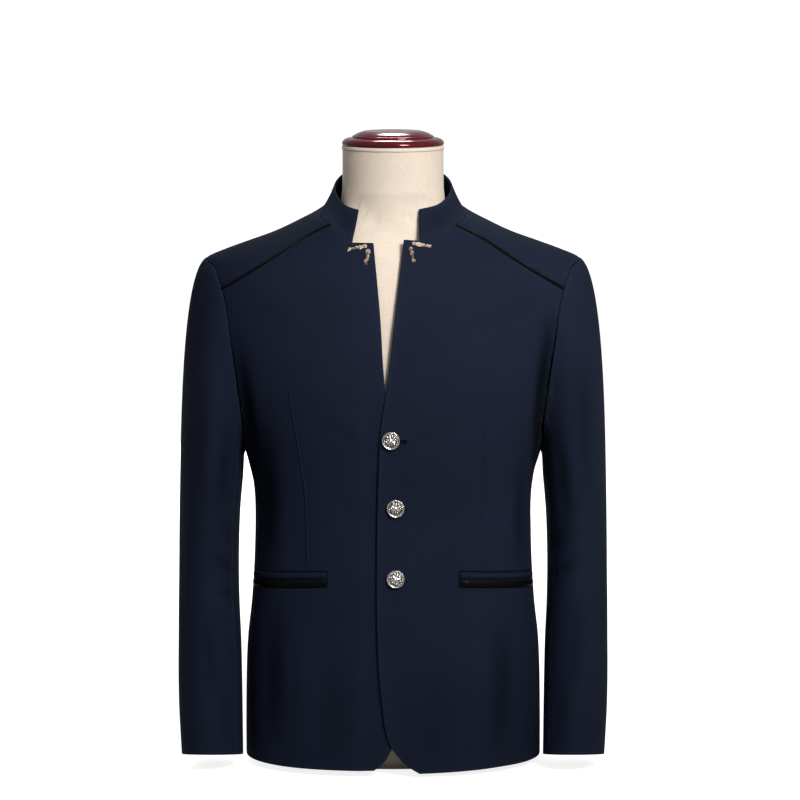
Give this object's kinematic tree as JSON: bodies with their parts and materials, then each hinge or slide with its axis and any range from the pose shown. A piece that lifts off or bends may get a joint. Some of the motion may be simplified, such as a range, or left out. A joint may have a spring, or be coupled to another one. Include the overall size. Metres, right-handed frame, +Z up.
{
  "type": "chinese suit jacket on a dress form",
  "caption": "Single-breasted stand-collar suit jacket with piped shoulder seams and jetted pockets, buttoned up on a limbless linen dress form with a turned neck cap.",
  "frame": {"origin": "middle of the dress form's flat base, on the surface it stands on", "axes": "+Z up, -Y to the jacket's front, +X to the wearer's left"},
  "size_m": [0.538, 0.2494, 0.7924],
  "materials": {
    "suit_cloth": "smooth navy worsted, dull sheen",
    "satin": "black satin, glossy",
    "button_metal": "antiqued silver plate",
    "embroidery": "bronze and pale thread, shiny",
    "form_linen": "natural linen, matt",
    "lacquered_wood": "cherry-red gloss lacquer"
  },
  "bodies": {
    "root": {"front_left": "suit_cloth", "front_right": "suit_cloth", "side_left": "suit_cloth", "side_right": "suit_cloth", "back_left": "suit_cloth", "back_right": "suit_cloth", "yoke_left": "suit_cloth", "yoke_right": "suit_cloth", "top_sleeve_left": "suit_cloth", "top_sleeve_right": "suit_cloth", "under_sleeve_left": "suit_cloth", "under_sleeve_right": "suit_cloth", "pocket_jet_left": "suit_cloth", "pocket_jet_right": "suit_cloth", "collar": "suit_cloth", "piping_left": "satin", "piping_right": "satin", "pocket_satin_left": "satin", "pocket_satin_right": "satin", "button_1": "button_metal", "button_2": "button_metal", "button_3": "button_metal", "spray_left_across": "embroidery", "spray_left_down": "embroidery", "spray_right_across": "embroidery", "spray_right_down": "embroidery", "form_body": "form_linen", "form_cap": "lacquered_wood"}
  },
  "joints": []
}
